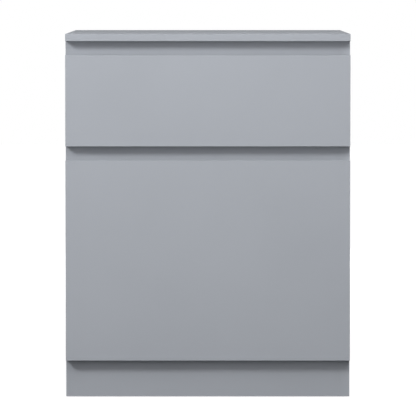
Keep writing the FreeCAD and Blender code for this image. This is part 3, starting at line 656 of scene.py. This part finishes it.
def cam_bolt(length):
    """A bolt for a cam: thread, collar, thin neck and the round head that the cam pulls on."""
    collar = 10 - length
    path = [(1.6, -length), (2.1, 0.8 - length)]
    path += thread(1.0 - length, 8.4 - length, core=1.8, crest=2.5, pitch=1.25, rise=0.5)
    path += [(2.0, collar - 0.2), (3.3, collar), (3.3, collar + 1.2), (2.3, collar + 1.5)]
    path += [(2.3, -7.0), (1.6, -6.2), (1.6, -3.0), (2.6, -2.8)]
    path += [(3.0, -2.2), (3.0, -1.0), (2.5, -0.3), (1.4, 0)]
    return turned(20, path)


def swap(node, pattern_for):
    """Puts detailed copies in place of a node's plain screws or bolts. pattern_for makes one, given its
    length in mm."""
    spots = {}
    for low, high, points in solids(node):
        top, looks = headed(low, high, points)
        spots.setdefault(round(length_of(low, high), 1), []).append((top, looks, aside(looks)))
    stand_for(node, joined([placed(pattern_for(length), spots[length]) for length in spots]))


def cam_lock(radius, thick, bolt_depth):
    """A round cam lock that looks along Z: a chamfered drum, a cross for the driver, a notch that shows which
    way it is turned, and the mouth on the X side that the bolt's head goes into."""
    path = [(radius - 0.8, -thick), (radius, 0.8 - thick), (radius, 0.02), (radius + 0.75, 0.04)]
    path += [(radius + 0.7, 0.2), (radius + 0.4, 0.32), (radius - 2.0, 0.34), (radius - 2.3, 0.0)]
    path += [(1.0, -0.05)]
    drum = turned(32, path)
    mouth_radius, past_middle = 3.4, 3.2
    deselect()
    bpy.ops.mesh.primitive_cylinder_add(
        vertices=20, radius=mouth_radius * MM, depth=2 * radius * MM,
        location=((radius - past_middle) * MM, 0, -bolt_depth * MM), rotation=(0, math.pi / 2, 0),
    )
    mouth = bpy.context.object
    bpy.ops.object.transform_apply()
    notch = bar((radius - 1.6, -0.5, 0.12), (radius + 1, 0.5, 1))
    return cross_recess(carved(drum, mouth, notch), width=1.3, span=5.4, depth=1.9)


def lock_looks(middle, axis):
    """The way that a cam lock looks: out of a drawer's side, inwards from a rail, or down from the base."""
    outwards = math.copysign(1, middle[axis])
    return (RIGHT * outwards, BACK * -outwards, -UP)[axis]


def make_cam_locks():
    """Cam locks, each with its mouth turned to its bolt, which runs in the middle of the board."""
    boards = {
        "carcass_cam_locks": "base_panel",
        "upper_drawer_cam_locks": "upper_drawer_side_left",
        "lower_drawer_cam_locks": "lower_drawer_side_left",
    }
    slack = 0.05  # mm that a drum's side stays inside its CAD solid's
    for node, board in boards.items():
        low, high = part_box(board)
        bolt_depth = min(high - low) / 2 / MM
        low, high, _ = solids(node)[0]
        pattern = cam_lock(length_of(low, high) / 2 - slack, min(high - low) / MM, bolt_depth)
        spots = []
        for low, high, _ in solids(node):
            middle = (low + high) / 2
            looks = lock_looks(middle, axis_of(low, high, pick=min))
            to_bolt = RIGHT * math.copysign(1, middle.x) if node == "carcass_cam_locks" else -BACK
            spots.append((end_of(low, high, looks), looks, to_bolt))
        stand_for(node, placed(pattern, spots))


def dowel(radius, length):
    """A dowel with chamfered ends, and flutes pressed into a quarter of its side."""
    flutes, flute_depth = 12, 0.25
    narrow, chamfer = radius - 0.9, 1.2
    pitch = math.tau / flutes

    def in_flute(face):
        return abs(face.normal.z) < 0.1 and math.atan2(face.center.y, face.center.x) % pitch < pitch / 4

    piece = turned(48, [(narrow, 0), (radius, chamfer), (radius, length - chamfer), (narrow, length)])
    edit(piece, in_flute)
    bpy.ops.mesh.inset(thickness=0.01 * MM, use_boundary=True)
    pressed = 1 - flute_depth / radius
    bpy.ops.transform.resize(value=(pressed, pressed, 1), center_override=(0, 0, 0))
    close_edit(smooth_below=math.radians(30))
    return piece


def make_dowels():
    """Dowels, each lying the way that its hole runs."""
    for node in ("carcass_dowels", "upper_drawer_dowels", "lower_drawer_dowels"):
        low, high, _ = solids(node)[0]
        pattern = dowel(sorted(high - low)[1] / 2 / MM, length_of(low, high))
        spots = []
        for low, high, _ in solids(node):
            points = (RIGHT, BACK, UP)[axis_of(low, high)]
            spots.append((end_of(low, high, -points), points, aside(points)))
        stand_for(node, placed(pattern, spots))


def make_glides():
    """Domed glides, each nailed into a side panel by its barbed stem."""
    dome = [(1.2, 0), (4.6, 0.05), (5.8, 0.35), (6.4, 0.85), (6.5, 1.25), (6.4, 1.5)]
    stem = [(3.0, 1.5), (3.0, 1.9), (2.6, 2.3), (2.95, 4.5), (2.6, 4.9), (2.95, 7.1), (2.6, 7.5)]
    point = [(2.9, 9.6), (1.8, 11.5)]
    spots = [(end_of(low, high, -UP), UP, RIGHT) for low, high, _ in solids("floor_glides")]
    stand_for("floor_glides", placed(turned(32, dome + stem + point), spots))


def make_bumpers():
    """Small moulded domes that soften the fronts' landing on the side panels."""
    path = [(4.0, 0), (3.97, 0.14), (3.75, 0.36), (3.2, 0.6), (2.3, 0.79), (1.2, 0.88), (0.4, 0.9)]
    for node in ("upper_drawer_bumpers", "lower_drawer_bumpers"):
        spots = [(end_of(low, high, -BACK), BACK, UP) for low, high, _ in solids(node)]
        stand_for(node, placed(turned(32, path), spots))


# ---- runners ---------------------------------------------------------------------------------------


def make_rollers():
    """Nylon rollers: a chamfered tyre, a thinner web and a hub round the bore."""
    bore, hub = 2.5, 4.6  # radii in mm
    for level, kind, side in product(("upper", "lower"), ("cabinet", "drawer"), ("left", "right")):
        node = f"{level}_{kind}_roller_{side}"
        low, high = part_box(node)
        tyre, half = (high.z - low.z) / 2 / MM, (high.x - low.x) / 2 / MM
        web = half - 1.1
        path = [(bore, -half), (hub - 0.3, -half), (hub - 0.1, 0.2 - half), (hub, -web), (tyre - 2.0, -web)]
        path += [(tyre - 1.8, 0.15 - half), (tyre - 0.7, -half), (tyre, 0.6 - half)]
        path += [(radius, -height) for radius, height in reversed(path)]
        stand_for(node, placed(turned(48, path, ring=True), [((low + high) / 2, RIGHT, UP)]))


def make_runners():
    """The folded metal with rounded bends, and a domed rivet on the end of each roller's axle."""
    bend, clearance = 0.3, 0.1  # mm
    dome = [(3.84, -0.05), (3.88, 0.15), (3.88, 0.85), (3.7, 1.1), (3.0, 1.28), (1.6, 1.38), (0.5, 1.4)]
    for level, side, kind in product(("upper", "lower"), ("left", "right"), ("cabinet", "drawer")):
        node = f"{level}_{kind}_runner_{side}"
        metal = reworked(node, bend)
        # a fixed channel's axle ends towards the drawer, and a drawer rail's axle towards the cabinet's side
        looks = RIGHT if (side == "right") == (kind == "drawer") else -RIGHT
        low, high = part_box(f"{level}_{kind}_roller_{side}")
        rivet = placed(turned(32, dome), [(end_of(low, high, looks) + looks * clearance * MM, looks, UP)])
        stand_for(node, joined([metal, rivet]))


# ---- blocks and boards -----------------------------------------------------------------------------


def make_corner_blocks():
    """Moulded blocks, rounded and hollowed from both ends, with a draught that lets them leave the mould."""
    node = "top_fixing_blocks"
    wall, hollow, rounding = 2.2, 4, 0.6  # mm
    draught = 0.93  # the width of a hollow's bottom as a share of its mouth's
    blocks = []
    for low, high, _ in solids(node):
        block = bar(low / MM, high / MM)
        edit(block, lambda face: abs(face.normal.y) > 0.5)
        bpy.ops.mesh.inset(thickness=wall * MM, use_individual=True)
        bpy.ops.mesh.extrude_region_shrink_fatten(TRANSFORM_OT_shrink_fatten={"value": -hollow * MM})
        bpy.ops.transform.resize(value=(draught, 1, draught), center_override=(low + high) / 2)
        bpy.ops.object.mode_set(mode="OBJECT")
        blocks.append(softened(block, rounding))
    whole = joined(blocks)
    bpy.ops.object.shade_smooth_by_angle(angle=SMOOTH_BELOW)
    stand_for(node, whole)


# the boards whose curves or sharp corners show
SHOWN_BOARDS = [
    "top_panel", "upper_drawer_front", "lower_drawer_front", "plinth_blocks", "side_panel_left",
    "side_panel_right", "finger_rail_upper", "finger_rail_middle", "plinth_front", "upper_drawer_side_left",
    "upper_drawer_side_right", "lower_drawer_side_left", "lower_drawer_side_right",
]
EASED, PLANED = 0.25, 0.8  # mm that a sanded board's or a bare block's edges are rounded


def make_boards():
    """Boards with smooth coves, eased edges and planed corners."""
    for node in SHOWN_BOARDS:
        stand_for(node, reworked(node, PLANED if node == "plinth_blocks" else EASED))


# ---- everything ------------------------------------------------------------------------------------

make_camera()
bpy.context.scene.view_settings.view_transform = "Standard"
make_studio()

PAINTS = {
    "grey_lacquer": matt_lacquer(),
    "carcass_board": melamine_board(),
    "drawer_foil": wrapped_foil("pvc_foil_wrapped_lengthwise", (1, 0.025, 1)),
    "lacquered_hardboard": hardboard(),
    "coated_runner": powder_coat(),
    "nylon_roller": nylon(),
    "zinc_steel": zinc_plate(),
    "zinc_cam": cast_zinc(),
    "beech_dowel": bare_wood("beech_turned_and_fluted", (0.08, 1, 1), "#D9B384", "#A87A4C", 2.5, 0.9),
    "pine_block": bare_wood("spruce_sawn_and_planed", (0.06, 1, 1), "#E0C08E", "#B98A50", 4, 1.2),
    "block_plastic": moulded_plastic("polypropylene_moulded_grey", "#8E9297", "#979BA0", 0.5),
    "glide_plastic": moulded_plastic("polyethylene_moulded_black", "#1B1C1E", "#26272A", 0.45),
    "bumper_pad": clear_pad(),
}
FOIL_CROSSWISE = wrapped_foil("pvc_foil_wrapped_crosswise", (0.025, 1, 1))
BEECH_LENGTHWISE = bare_wood("beech_fluted_lengthwise", (1, 0.08, 1), "#D9B384", "#A87A4C", 2.5, 0.9)

# the grain of a drawer's back runs across the cabinet, and that of its dowels from front to back
TURNED_GRAIN = {
    "upper_drawer_back": FOIL_CROSSWISE, "lower_drawer_back": FOIL_CROSSWISE,
    "upper_drawer_dowels": BEECH_LENGTHWISE, "lower_drawer_dowels": BEECH_LENGTHWISE,
}
for node, slot in slots.items():
    nodes[node].data.materials.clear()
    nodes[node].data.materials.append(TURNED_GRAIN.get(node, PAINTS[slot]))

for node in ("top_fixing_screws", "back_panel_screws", "upper_drawer_screws", "lower_drawer_screws"):
    swap(node, pan_head_screw)
swap("cabinet_runner_screws", runner_screw)
for node in ("carcass_cam_bolts", "upper_drawer_cam_bolts", "lower_drawer_cam_bolts"):
    swap(node, cam_bolt)
make_cam_locks()
make_dowels()
make_glides()
make_bumpers()
make_rollers()
make_runners()
make_corner_blocks()
make_boards()
